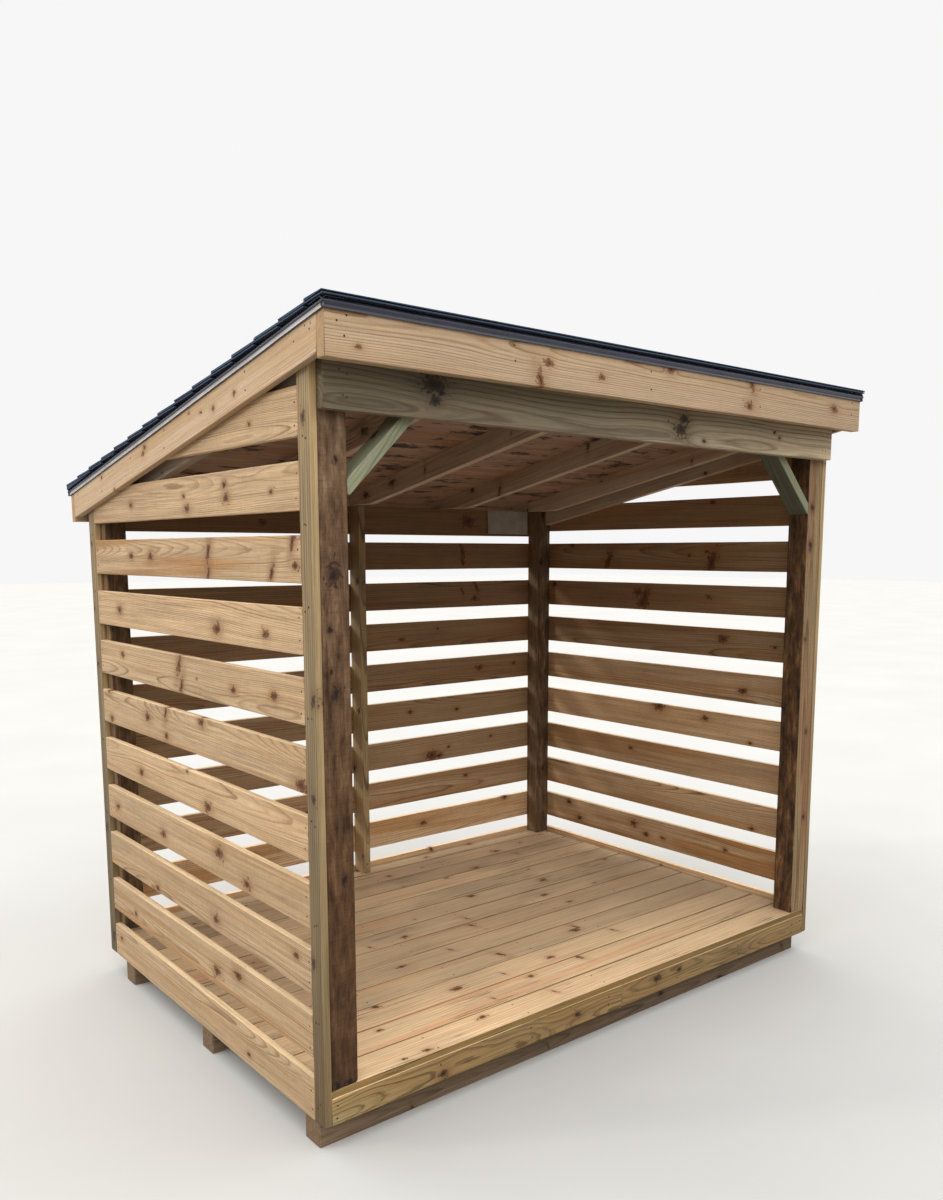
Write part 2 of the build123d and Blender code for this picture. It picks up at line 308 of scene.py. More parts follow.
SLAT_WOOD = wood(
    "slat_wood", (0.605, 0.425, 0.26), (0.25, 0.145, 0.064), (0.46, 0.25, 0.105), (0.31, 0.24, 0.15),
    (0.125, 0.04, 0.012), ring=0.78, streak=0.6, fibre=0.3, chatter=0.16, edge=(0.82, 0.61, 0.37),
    edge_share=0.65, shade_and_weathering=(0.5, 0.42, 0.35), halo_share=0.8, ripple_height=0.0026,
)
TRIM_WOOD = wood(
    "trim_wood", (0.44, 0.315, 0.165), (0.15, 0.09, 0.035), (0.34, 0.19, 0.075), (0.24, 0.205, 0.12),
    (0.06, 0.035, 0.02), ring=0.95, streak=0.7, shade_and_weathering=(0.84, 0.88, 0.96), figure=0.6, band=0.1,
    edge=(0.66, 0.47, 0.25), edge_share=0.55, slot="slat_wood",
)
# The fascia and the barge boards share all but their ground colour and how strong their rings are
PLANED = dict(
    late=(0.35, 0.205, 0.1), warm=(0.56, 0.35, 0.18), wear_and_highlight=(0.47, 0.37, 0.25), knot=(0.25, 0.1, 0.038),
    streak=0.35, chatter=0.08, halo_share=0.6, bright_end=(0.78, 0.7, 0.6),
)
FASCIA_WOOD = wood("fascia_wood", (0.7, 0.515, 0.345), ring=0.85, **PLANED)
BARGE_WOOD = wood("barge_wood", (0.68, 0.5, 0.335), ring=0.5, slot="fascia_wood", **PLANED)
# The deck boards' dark edge colour is partly painted shade along their gaps and front edges, partly darker
# wood
DECK_WOOD = wood(
    "deck_wood", (0.72, 0.52, 0.315), (0.37, 0.22, 0.11), (0.7, 0.4, 0.215), (0.36, 0.265, 0.17),
    (0.14, 0.045, 0.014), ring=0.42, streak=0.5, fibre=0.2, crack=0.7, edge=(0.2, 0.115, 0.028),
    edge_share=0.9, halo_share=0.6,
)
# The rims' light edge colour is a painted highlight on their narrow faces
RIM_WOOD = wood(
    "rim_wood", (0.375, 0.225, 0.092), (0.105, 0.055, 0.018), (0.3, 0.145, 0.05), (0.38, 0.3, 0.145),
    (0.05, 0.025, 0.014), ring=0.74, streak=0.5, crack=0.6, band=0.08, figure=2.2, ripple_height=0.008,
    edge=(0.74, 0.6, 0.38), edge_share=0.9,
)
HEADER_WOOD = wood(
    "header_wood", (0.37, 0.3, 0.205), (0.115, 0.08, 0.048), (0.27, 0.18, 0.1), (0.21, 0.19, 0.13),
    (0.018, 0.012, 0.01), ring=0.72, streak=0.5, crack=0.5, halo_share=0.85, band=0.14, figure=1.3,
    ripple_height=0.004,
)
# The brace's shade tint is painted shade on the right brace's underside and inner faces
BRACE_WOOD = wood(
    "brace_wood", (0.37, 0.38, 0.255), (0.17, 0.19, 0.115), (0.31, 0.28, 0.165), (0.33, 0.35, 0.235),
    (0.05, 0.04, 0.028), ring=0.85, streak=0.5, shade_and_weathering=(0.3, 0.33, 0.38), slot="header_wood",
)
# Weathered faces, from their darkest grime to bare wood
AGED = [
    (0.3, (0.052, 0.026, 0.014)), (0.43, (0.132, 0.077, 0.044)), (0.55, (0.19, 0.121, 0.074)),
    (0.7, (0.3, 0.205, 0.132)),
]
STAINED = [
    (0.34, (0.024, 0.014, 0.009)), (0.46, (0.075, 0.045, 0.025)), (0.56, (0.135, 0.082, 0.044)),
    (0.68, (0.28, 0.185, 0.105)),
]
POST_WOOD = wood(
    "post_wood", (0.5, 0.345, 0.19), (0.26, 0.155, 0.075), (0.15, 0.07, 0.035), (0.26, 0.17, 0.1),
    (0.03, 0.015, 0.01), ring=0.8, streak=0.35, fibre=0.35, rough=0.75, crack=0.5, relief=0.0014,
    weathered=AGED, chatter=0.52, halo_share=0.55,
)
STAINED_POST_WOOD = wood(
    "stained_post_wood", (0.35, 0.245, 0.13), (0.165, 0.096, 0.042), (0.28, 0.12, 0.055),
    (0.24, 0.15, 0.09), (0.035, 0.018, 0.012), ring=0.85, streak=0.5, fibre=0.35, rough=0.75, crack=0.5,
    relief=0.0014, weathered=STAINED, chatter=0.18, halo_share=0.9, slot="post_wood",
)
STUD_WOOD = wood(
    "stud_wood", (0.48, 0.345, 0.185), (0.13, 0.08, 0.035), (0.38, 0.24, 0.11), (0.34, 0.27, 0.15),
    (0.06, 0.03, 0.018), ring=0.95, streak=0.5, crack=0.4, band=0.1, figure=0.5, slot="post_wood",
)
RAFTER_WOOD = wood(
    "rafter_wood", (0.6, 0.49, 0.395), (0.31, 0.22, 0.15), (0.47, 0.29, 0.18), (0.3, 0.24, 0.18),
    (0.07, 0.04, 0.03), ring=0.75, streak=0.45, crack=0.3, edge=(0.66, 0.54, 0.42), edge_share=0.7,
)
SKID_WOOD = wood(
    "skid_wood", (0.205, 0.133, 0.08), (0.09, 0.056, 0.033), (0.155, 0.095, 0.052), (0.225, 0.165, 0.115),
    (0.045, 0.028, 0.018), ring=0.8, streak=0.55, fibre=0.35, rough=0.8, crack=0.9, relief=0.001,
)
SHEATHING_WOOD = wood(
    "sheathing_wood", (0.42, 0.285, 0.22), (0.23, 0.135, 0.085), (0.33, 0.175, 0.1), (0.19, 0.125, 0.085),
    (0.06, 0.035, 0.025), ring=0.8, streak=0.7, patches=1.0,
)


def drip_metal():
    t = fresh("drip_metal")
    place = t.place()
    grime = t.noise(place, scale=9.0, detail=4.0)
    specks = t.noise(place, scale=420.0)
    runs = t.noise(t.vector("MULTIPLY", place, (60.0, 60.0, 6.0)))
    tint = t.ramp(grime, [(0.3, (0.030, 0.033, 0.060)), (0.7, (0.048, 0.052, 0.088))])
    tint = t.mix(t.step(specks, 0.60, 0.72, 0.0, 0.5), tint, (0.11, 0.11, 0.12))
    tint = t.mix(t.step(runs, 0.5, 0.75, 0.0, 0.35), tint, (0.02, 0.02, 0.026))
    # A painted highlight: the strip along the lower fold is painted light grey, for the sky's reflection
    highlight_strip = t.mul(t.attribute("edge"), t.step(grime, 0.3, 0.7, 0.75, 1.0))
    tint = t.mix(highlight_strip, tint, (0.60, 0.575, 0.585))
    gloss = t.step(grime, 0.3, 0.7, 0.20, 0.34)
    normal = t.bump(t.muladd(grime, 1.0, specks), 0.0002, 0.3)
    return t.surface(Base_Color=tint, Roughness=gloss, Specular_IOR_Level=0.42, Normal=normal)


def shingle_grit():
    t = fresh("shingle")
    place = t.place()
    seed = t.attribute("seed")
    edge = t.attribute("end")
    grit = t.add("ShaderNodeTexVoronoi", {"Vector": place, "Scale": 620.0})
    grains = t.ramp(t.split(grit.outputs["Color"])[0], [
        (0.0, (0.010, 0.012, 0.016)), (0.55, (0.024, 0.027, 0.034)), (0.82, (0.045, 0.050, 0.060)),
        (0.95, (0.11, 0.12, 0.14)), (1.0, (0.22, 0.23, 0.25)),
    ])
    cloud = t.noise(place, scale=4.5, detail=3.0)
    shade = t.muladd(cloud, 0.6, t.muladd(seed, 0.75, 0.35))
    tint = t.vector("SCALE", grains, scale=shade)
    # The layers' cut edges are painted a lighter blue: a painted reflection of the sky
    tint = t.mix(t.mul(edge, 0.75), tint, (0.068, 0.108, 0.195))
    height = t.muladd(cloud, 2.0, grit.outputs["Distance"])
    normal = t.bump(height, 0.0012, 0.8)
    return t.surface(Base_Color=tint, Roughness=0.9, Specular_IOR_Level=0.25, Normal=normal)


def nail_metal():
    t = fresh("nail_metal")
    place = t.place()
    rust = t.noise(place, scale=160.0, detail=3.0)
    tint = t.ramp(rust, [
        (0.35, (0.045, 0.022, 0.010)), (0.55, (0.080, 0.045, 0.024)), (0.75, (0.13, 0.085, 0.050)),
    ])
    normal = t.bump(rust, 0.0004)
    return t.surface(Base_Color=tint, Metallic=0.15, Roughness=0.75, Specular_IOR_Level=0.2, Normal=normal)


def card_paper():
    t = fresh("blank_card")
    place = t.place()
    pulp = t.noise(place, scale=240.0, detail=3.0)
    stain = t.noise(place, scale=14.0, detail=3.0)
    tint = t.ramp(stain, [(0.3, (0.33, 0.31, 0.28)), (0.7, (0.46, 0.44, 0.40))])
    tint = t.mix(t.step(pulp, 0.4, 0.7, 0.0, 0.3), tint, (0.27, 0.25, 0.22))
    normal = t.bump(t.muladd(stain, 3.0, pulp), 0.0004)
    return t.surface(Base_Color=tint, Roughness=0.8, Specular_IOR_Level=0.25, Normal=normal)


DRIP_METAL = drip_metal()
SHINGLE_GRIT = shingle_grit()
NAIL_METAL = nail_metal()
CARD_PAPER = card_paper()


# Meshes

def link(name, data):
    obj = bpy.data.objects.new(name, data)
    bpy.context.scene.collection.objects.link(obj)
    return obj


class Build:
    """Collects vertices, faces and their attributes for one piece."""

    def __init__(self):
        self.points = []
        self.faces = []
        self.marks = {"end": [], "edge": [], "weather_and_shade": []}
        self.smooth = []
        self.values = {}

    def add(self, points, faces, end=None, smooth=None, edge=None, weather_and_shade=None, **values):
        start = len(self.points)
        self.points.extend(points)
        self.faces.extend([tuple(start + i for i in face) for face in faces])
        for key, marks in (("end", end), ("edge", edge), ("weather_and_shade", weather_and_shade)):
            self.marks[key].extend(marks or [0.0] * len(faces))
        self.smooth.extend(smooth or [False] * len(faces))
        for key, value in values.items():
            column = self.values.setdefault(key, [])
            if isinstance(value, list):
                column.extend(value)
            else:
                column.extend([value] * len(points))

    def piece(self, name, material, nodes=(), slot=None):
        mesh = bpy.data.meshes.new(name)
        mesh.from_pydata([tuple(p) for p in self.points], [], self.faces)
        mesh.polygons.foreach_set("use_smooth", self.smooth)
        for key, marks in self.marks.items():
            mesh.attributes.new(key, "FLOAT", "FACE").data.foreach_set("value", marks)
        for key, column in self.values.items():
            if isinstance(column[0], float):
                mesh.attributes.new(key, "FLOAT", "POINT").data.foreach_set("value", column)
            else:
                flat = [number for value in column for number in value]
                mesh.attributes.new(key, "FLOAT_VECTOR", "POINT").data.foreach_set("vector", flat)
        mesh.materials.append(material)
        obj = link(name, mesh)
        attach(obj, "root")
        if nodes:
            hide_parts(*nodes)
        return obj


def islands(node):
    """The loose solids of a CAD node as clean bmeshes, sorted by height, then depth, then width."""
    source = bmesh.new()
    source.from_mesh(frame["nodes"][node].data)
    bmesh.ops.remove_doubles(source, verts=source.verts, dist=1e-5)
    source.verts.index_update()
    seen = set()
    found = []
    for first in source.verts:
        if first.index in seen:
            continue
        group = []
        stack = [first]
        seen.add(first.index)
        while stack:
            vert = stack.pop()
            group.append(vert)
            for edge in vert.link_edges:
                other = edge.other_vert(vert)
                if other.index not in seen:
                    seen.add(other.index)
                    stack.append(other)
        part = bmesh.new()
        copies = {vert: part.verts.new(vert.co) for vert in group}
        for face in source.faces:
            if face.verts[0] in copies:
                part.faces.new([copies[vert] for vert in face.verts])
        bmesh.ops.dissolve_limit(part, angle_limit=0.01, verts=part.verts, edges=part.edges)
        bmesh.ops.recalc_face_normals(part, faces=part.faces)
        found.append(part)
    source.free()

    def place(part):
        low, high = extent([v.co for v in part.verts])
        return [round(number, 3) for number in reversed((low + high) / 2)]

    return sorted(found, key=place)


def extent(points):
    low = Vector([min(p[i] for p in points) for i in range(3)])
    high = Vector([max(p[i] for p in points) for i in range(3)])
    return low, high


def tube_faces(count, steps):
    """The sides of a tube whose points are steps + 1 rings of count points."""
    faces = []
    for step in range(steps):
        for i in range(count):
            a = step * count + i
            b = step * count + (i + 1) % count
            faces.append((a, b, b + count, a + count))
    return faces


def sheet_faces(columns, rows):
    """Both faces of a thin sheet whose points are two grids, row by row, one after the other."""
    wide = columns + 1
    count = wide * (rows + 1)
    faces = []
    for row in range(rows):
        for column in range(columns):
            a = row * wide + column
            b = count + a
            faces += [(a, a + wide, a + wide + 1, a + 1), (b, b + 1, b + wide + 1, b + wide)]
    return faces


# Timber

# A knot that no board reaches, for the places that a board leaves unused
FAR_KNOT = (9.0, 9.0, 0.001)
# Boards are cut across this often, so that they can bend
CUT_SPACING = 0.09
# Faces smaller than this belong to the eased edges and are shaded smooth
EASED_AREA = 0.0009


def random_knots(rng, length, width, spacing):
    """Scattered knots, about one every spacing metres."""
    found = []
    u = -length / 2 + rng.uniform(0.05, spacing)
    while u < length / 2 and len(found) < KNOTS:
        size = rng.choice((0.004, 0.006, 0.008, 0.010, 0.012)) * rng.choice((1, 1, -0.6))
        found.append((u, rng.uniform(-0.45, 0.45) * width, size))
        u += rng.uniform(0.4, 1.6) * spacing
    return found


def timber(build, part, axes, rng, bevel, bow, pith, tone, knots, spacing, weather_and_shade):
    """One sawn board from a CAD solid: eased edges, a slight bow, and its own grain.

    A tone may be a list of (place along the board from 0 to 1, tone) to shade it along its length.
    Its last argument lists directions, each with an amount for the faces on that side: weathering on the
    posts and trims, painted shade on the walls' inner faces, the back header and the right brace.
    """
    along, across, through = axes
    corners = [(v.co.dot(along), v.co.dot(across), v.co.dot(through)) for v in part.verts]
    low, high = extent(corners)
    middle = (low + high) / 2
    size = high - low
    bmesh.ops.bevel(part, geom=part.edges[:], offset=bevel, segments=2, profile=0.55, affect="EDGES",
                    clamp_overlap=True)
    cuts = max(2, round(size.x / CUT_SPACING))
    for cut in range(1, cuts):
        place = along * (low.x + size.x * cut / cuts)
        geom = part.verts[:] + part.edges[:] + part.faces[:]
        bmesh.ops.bisect_plane(part, geom=geom, dist=1e-6, plane_co=place, plane_no=along)
    seed = rng.uniform(0.0, 10.0)
    bend_through = rng.uniform(-1, 1) * bow
    bend_across = rng.uniform(-1, 1) * bow
    cup = rng.uniform(-1, 1) * bow * 0.5
    points = []
    grain = []
    tones = []
    for vert in part.verts:
        u = vert.co.dot(along) - middle.x
        v = vert.co.dot(across) - middle.y
        w = vert.co.dot(through) - middle.z
        share = 2 * u / size.x
        arch = 1 - share * share
        wave = noise.noise(Vector((u * 2.3, seed, 0.0)))
        wave_across = noise.noise(Vector((u * 2.9, seed, 7.0)))
        dished = cup * (2 * v / size.y) ** 2 * 0.6
        moved = vert.co + through * (bend_through * arch + bow * 0.5 * wave + dished)
        moved += across * (bend_across * arch + bow * 0.6 * wave_across)
        moved.z = max(moved.z, 0.0)
        points.append(moved)
        grain.append((u, v, w))
        tones.append(tone_at(tone, u / size.x + 0.5) if isinstance(tone, list) else tone)
    part.verts.index_update()
    faces = [tuple(v.index for v in face.verts) for face in part.faces]
    end = [1.0 if abs(face.normal.dot(along)) > 0.8 else 0.0 for face in part.faces]
    edge = [1.0 if abs(face.normal.dot(through)) < 0.8 else 0.0 for face in part.faces]
    aged_and_shaded = [
        max([amount for side, amount in weather_and_shade if face.normal.dot(side) > 0.7], default=0.0)
        for face in part.faces
    ]
    smooth = [face.calc_area() < EASED_AREA for face in part.faces]
    listed = random_knots(rng, size.x, size.y, spacing) if knots is None else knots[:KNOTS]
    listed = listed + [FAR_KNOT] * (KNOTS - len(listed))
    values = {f"knot{index}": knot for index, knot in enumerate(listed)}
    build.add(points, faces, end, smooth, edge, aged_and_shaded, grain=grain, seed=seed, pith=pith, tone=tones, **values)
    part.free()


def tone_at(stops, place):
    """The tone at a place along a board, from (place, tone) stops."""
    for (a, first), (b, second) in zip(stops, stops[1:]):
        if place <= b:
            share = min(1.0, max(0.0, (place - a) / (b - a)))
            return tuple(x + (y - x) * share for x, y in zip(first, second))
    return stops[-1][1]


def flat_sawn(rng, near, far, ring):
    """A pith aside of the board and behind its face, and the width of a ring."""
    aside = rng.choice((-1, 1)) * rng.uniform(0.02, 0.11)
    behind = rng.choice((-1, 1)) * rng.uniform(near, far)
    return (aside, behind, rng.uniform(*ring))


def boxed_heart(rng, ring):
    """A pith within the beam, and the width of a ring."""
    return (rng.uniform(-0.022, 0.022), rng.uniform(-0.022, 0.022), rng.uniform(*ring))


def boards(node, axes, look, bevel=0.003, bow=0.0008, name=None, heart=False, tones=(), spread=0.12,
           tone=(1.0, 0.5, 0.2), knots=None, spacing=0.5, near=0.03, far=0.085, weather_and_shade=(), slot=None,
           ring=(0.005, 0.008), quarter=False, pith_at=None):
    """Dresses every solid of a CAD node as sawn timber.

    Quarter-sawn boards show straight lines on their wide faces, the others arches.
    """
    name = name or node + "_board"
    rng = random.Random(name)
    build = Build()
    for index, part in enumerate(islands(node)):
        if index < len(tones):
            chosen = tones[index]
        elif isinstance(tone, list):
            chosen = tone
        else:
            light, warm, wear = tone
            chosen = (
                light * rng.uniform(1 - spread, 1 + spread),
                min(1.0, max(0.0, warm + rng.uniform(-0.35, 0.35))),
                min(1.0, max(0.0, wear + rng.uniform(-0.15, 0.15))),
            )
        pith = boxed_heart(rng, ring) if heart else flat_sawn(rng, near, far, ring)
        if quarter:
            pith = (pith[1] * 1.5, pith[0] * 0.4, pith[2])
        if pith_at:
            pith = (*pith_at, pith[2])
        sides = [(side, amount[index] if isinstance(amount, tuple) else amount) for side, amount in weather_and_shade]
        listed = (knots or {}).get(index)
        if listed:
            listed = [tuple(number / 1000 for number in knot) for knot in listed]
        timber(build, part, axes, rng, bevel, bow, pith, chosen, listed, spacing, sides)
    material, own_slot = look
    return build.piece(name, material, [node], slot or own_slot)


# Tables read off the photograph

# Knots in millimetres from each board's middle: along, across, radius.
# The key is the board's number, from the lowest or the foremost. A few on hidden parts are guesses.
LEFT_KNOTS = {
    0: [(795, 22, 7), (-420, -30, 6)],
    1: [(605, -22, 8), (-185, -12, 13), (-357, 27, 13)],
    2: [(-189, -28, 12), (351, -53, 9), (-775, 25, 8)],
    3: [(756, -6, 10), (263, -20, 12), (-237, 23, 16), (-449, -38, 12)],
    4: [(-155, -39, 14), (14, 62, 5), (468, -19, 12)],
    5: [
        (373, 10, 13), (-130, 54, 12), (192, -40, 10), (190, 50, -9), (777, -45, 9), (793, 68, 8),
        (-836, -48, 17),
    ],
    6: [(45, 36, -13), (29, -41, -11), (613, 28, 8), (-396, -13, 10), (-676, -3, 11), (-106, -2, 3)],
    7: [(618, 0, 13), (-289, -24, 16), (-635, -22, 10)],
    8: [
        (-240, 22, -12), (-236, -52, -9), (466, 5, 10), (269, 5, 11), (-836, -18, 9), (-820, 52, -10),
        (-686, -43, -9),
    ],
    9: [(-381, 27, 9), (-392, -14, 11), (-82, -40, 10), (-58, 4, 6), (-699, -9, 6), (440, -10, 8)],
    10: [(-456, -10, 5)],
}
RIGHT_KNOTS = {
    1: [(635, 46, 10), (548, -34, 10), (134, 21, 12), (44, -20, 10), (-73, -16, 7), (-477, 13, 7)],
    2: [(-632, -53, 8)],
    3: [(160, 20, 8)],
    4: [(-28, 58, 18), (-330, 31, 9), (-603, -56, 6)],
    5: [(-554, -14, 11)],
    6: [(-425, 18, 16), (-722, -3, 7)],
    7: [(100, -34, 22), (130, 20, 17), (85, 0, -20), (774, 50, 12), (-330, 10, 9)],
    8: [
        (353, -28, -20), (335, 0, 8), (-341, -28, -22), (-325, -5, 9), (-201, 6, 6), (-310, 23, 7),
        (636, 61, 10),
    ],
    9: [(-339, 51, 8)],
}
BACK_KNOTS = {
    1: [(417, 9, 9), (1007, 64, 9), (-600, 20, 10)],
    2: [(717, 27, 8), (-300, -20, 8)],
    3: [(901, 21, 6), (596, -4, 6), (478, -39, 20), (530, -45, 12)],
    4: [(334, 7, 8), (654, -8, 8)],
    5: [(817, 4, 15), (1076, 14, 7)],
    6: [(287, -19, 9), (527, 28, 5)],
    7: [(796, 38, -12), (783, -25, 12), (700, 10, -10)],
    8: [(700, 22, -14), (700, -30, -12), (-500, 10, 12)],
}
DECK_KNOTS = {
    0: [(-588, 34, 9), (-882, -35, 8), (-981, -36, 5), (-243, 26, -5)],
    1: [(60, 55, -8), (-932, 38, 6), (-219, 39, 9), (-460, -20, -4)],
    2: [(-32, -18, 10), (390, 25, -6), (-514, -12, 12), (-841, 55, 8), (-288, -18, -4)],
    3: [(-169, -8, -9), (258, -10, 14), (290, 20, -7)],
    4: [(-558, 7, 9), (-300, 20, -5)],
    5: [(-56, 35, -7), (500, -20, 8)],
    8: [(681, 40, 5)],
    9: [(257, 55, 8)],
}
HEADER_KNOTS = {
    0: [
        (-887, 30, 21), (-861, 10, 9), (-882, -16, 11), (260, -17, 19), (277, 22, 13), (396, -48, 5),
        (848, 17, 4), (884, -3, 5),
    ],
}
FASCIA_KNOTS = {
    0: [
        (-1214, -28, 5), (-506, 10, 10), (-540, -48, -13), (-265, -8, 8), (81, 54, 12), (554, 53, -12),
        (543, -30, 13), (1125, 10, 13),
    ],
}
TRIM_KNOTS = {
    0: [(142, -18, 10), (-156, -7, 9), (-672, 16, 9), (951, 1, 10)],
}
BARGE_KNOTS = {
    0: [
        (213, 24, 9), (233, 6, 8), (684, 27, 6), (-378, -10, 7), (-196, 29, 4), (-284, 6, 4),
        (560, -48, 5), (-534, -9, 6),
    ],
}
RIM_LEFT_KNOTS = {
    0: [(408, -3, 9), (-222, -18, 10)],
}
RIM_RIGHT_KNOTS = {
    0: [(-273, 16, 8), (-410, 13, 12)],
}
LEFT_POST_KNOTS = {
    0: [
        (520, -4, 17), (173, -5, 11), (360, -20, 6), (240, -18, 5), (-400, 12, 7), (-1058, -27, 9),
        (-1056, 17, 8), (850, 10, 6),
    ],
}
RIGHT_POST_KNOTS = {
    0: [(615, -20, 10), (780, -18, 8), (-220, 10, 6), (-620, 20, 7), (200, -30, 5)],
}
BACK_HEADER_KNOTS = {0: [(738, 8, 26), (-500, -20, 12)]}

# Shade, warmth and wear of each wall board, from the lowest up
LEFT_TONES = [
    (0.97, 0.3, 0.3), (0.93, 0.8, 0.25), (0.93, 0.35, 0.3), (1.02, 0.4, 0.35), (1.06, 0.4, 0.3),
    (1.0, 0.5, 0.3), (0.99, 0.3, 0.35), (1.08, 0.2, 0.15), (0.94, 1.0, 0.05), (1.0, 0.4, 0.15),
    (1.0, 0.7, 0.1),
]
# The lowest board of the right wall and of the back wall is lightened all over, as painted light for the
# light on its top edge
RIGHT_TONES = [
    (1.3, 0.4, 0.1), (1.02, 1.8, 0.0), (1.05, 0.8, 0.1), (1.02, 0.8, 0.1), (1.18, 0.4, 0.15),
    (1.05, 0.6, 0.2), (0.86, 0.7, 0.15), (0.96, 0.5, 0.2), (0.92, 0.8, 0.2), (0.95, 0.5, 0.2),
    (0.95, 0.5, 0.2),
]
BACK_TONES = [
    (1.3, 0.4, 0.1), (1.35, 0.9, 0.1), (1.0, 0.6, 0.1), (0.97, 0.6, 0.15), (0.98, 0.5, 0.2),
    (0.97, 0.5, 0.2), (0.98, 0.6, 0.15), (0.88, 0.9, 0.15), (0.92, 0.3, 0.2),
]
# Painted shade on each board's inner side, from the lowest up: mostly the upper boards are painted darker
RIGHT_PAINTED_SHADE = (0.0, 0.25, 0.2, 0.3, 0.0, 0.1, 0.6, 0.85, 0.7, 0.75, 0.7)
BACK_PAINTED_SHADE = (0.0, 0.05, 0.3, 0.45, 0.6, 0.78, 0.85, 0.95, 1.0)


def deck_tone(left, right, warm, wear):
    middle = ((left + right) * 0.54, warm * 0.7, wear)
    return [(0.0, (left, warm, wear)), (0.45, middle), (1.0, (right, warm / 3, wear))]


DECK_TONES = [
    deck_tone(1.34, 0.83, 0.3, 0.15), deck_tone(1.3, 0.75, 1.0, 0.1), deck_tone(1.34, 0.75, 0.3, 0.35),
    deck_tone(1.07, 0.68, 0.6, 0.45), deck_tone(1.08, 0.73, 0.2, 0.6), deck_tone(0.96, 0.71, 0.9, 0.4),
    deck_tone(1.06, 0.86, 0.3, 0.6), deck_tone(0.98, 0.84, 1.0, 0.35), deck_tone(1.1, 0.94, 0.3, 0.5),
]

# The photograph shows the stud this much further left than the plain spacing puts it
STUD_LEAN = 0.007
# and the deck's front edge this far behind the rim's face
DECK_SET_BACK = 0.002
# The two front rim boards butt here, with a slight gap
RIM_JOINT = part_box("front_rim_left")[1][0]
JOINT_GAP = 0.0012
JOINT_REACH = 0.004
# Axes of a board: along its length, across its face and through it
ALONG_Y = (Y, Z, X)
ALONG_X = (X, Z, Y)
DECK = (X, Y, Z)
UPRIGHT = (Z, Y, X)
POST = (Z, X, Y)
RAFTER = (DOWN_ROOF, OUT_OF_ROOF, X)
ROOF_PLANE = (X, DOWN_ROOF, OUT_OF_ROOF)

# Walls
boards("left_wall_slats", ALONG_Y, SLAT_WOOD, 0.0035, 0.0012, "left_wall_boards",
       tones=LEFT_TONES, knots=LEFT_KNOTS, near=0.04, far=0.10, ring=(0.0034, 0.0052))
# The right and back walls' inner faces take painted shade from these tables
boards("right_wall_slats", ALONG_Y, SLAT_WOOD, 0.0035, 0.0012, "right_wall_boards",
       tones=RIGHT_TONES, knots=RIGHT_KNOTS, weather_and_shade=[(-X, RIGHT_PAINTED_SHADE)], ring=(0.006, 0.009))
boards("back_wall_slats", ALONG_X, SLAT_WOOD, 0.0035, 0.0012, "back_wall_boards",
       tones=BACK_TONES, knots=BACK_KNOTS, weather_and_shade=[(-Y, BACK_PAINTED_SHADE)], ring=(0.006, 0.009))

# Deck
PLANKS = boards("deck_boards", DECK, DECK_WOOD, 0.0055, name="deck_planks", tones=DECK_TONES,
                tone=(1.02, 0.35, 0.5), spread=0.10, knots=DECK_KNOTS, spacing=0.35, near=0.02, far=0.05,
                ring=(0.011, 0.017))
for vert in PLANKS.data.vertices:
    vert.co.y = max(vert.co.y, FRONT_PLANE + DECK_SET_BACK)

# Corner trims
for side, dim in (("front_left", 1.0), ("front_right", 0.85), ("back_left", 0.85), ("back_right", 0.85)):
    boards(f"{side}_trim", UPRIGHT, TRIM_WOOD, 0.0035, quarter=True, near=0.03, far=0.05,
           knots=TRIM_KNOTS if side == "front_left" else None, weather_and_shade=[(-X, 1.0), (X, 0.6)],
           ring=(0.008, 0.012), tone=[
               (0.0, (0.47 * dim, 0.8, 0.2)), (0.5, (0.86 * dim, 0.4, 0.35)), (1.0, (1.34 * dim, 0.4, 0.35)),
           ])

# Floor frame and skids
RIM_LEFT = boards("front_rim_left", ALONG_X, RIM_WOOD, knots=RIM_LEFT_KNOTS,
                  tone=[(0.0, (1.2, 0.0, 0.8)), (0.3, (0.97, 0.3, 0.3)), (1.0, (0.95, 0.4, 0.2))],
                  ring=(0.011, 0.012), pith_at=(-0.02, 0.022))
RIM_RIGHT = boards("front_rim_right", ALONG_X, RIM_WOOD, knots=RIM_RIGHT_KNOTS,
                   tone=(1.0, 0.55, 0.15), ring=(0.011, 0.012), pith_at=(0.015, 0.020))
for board, way in ((RIM_LEFT, -1), (RIM_RIGHT, 1)):
    for vert in board.data.vertices:
        if abs(vert.co.x - RIM_JOINT) < JOINT_REACH:
            vert.co.x += way * JOINT_GAP
boards("back_rim", ALONG_X, RIM_WOOD)
boards("left_rim", ALONG_Y, RIM_WOOD)
boards("right_rim", ALONG_Y, RIM_WOOD)
boards("floor_joists", ALONG_Y, RIM_WOOD, name="floor_joist_boards")
SKID_TONE = [(0.0, (1.4, 0.3, 0.8)), (0.15, (1.0, 0.4, 0.6)), (0.4, (0.8, 0.6, 0.5)), (1.0, (0.78, 0.6, 0.5))]
for side in ("front", "middle", "back"):
    boards(f"{side}_skid", ALONG_X, SKID_WOOD, 0.005, name=f"{side}_skid_beam", heart=True,
           tone=SKID_TONE)

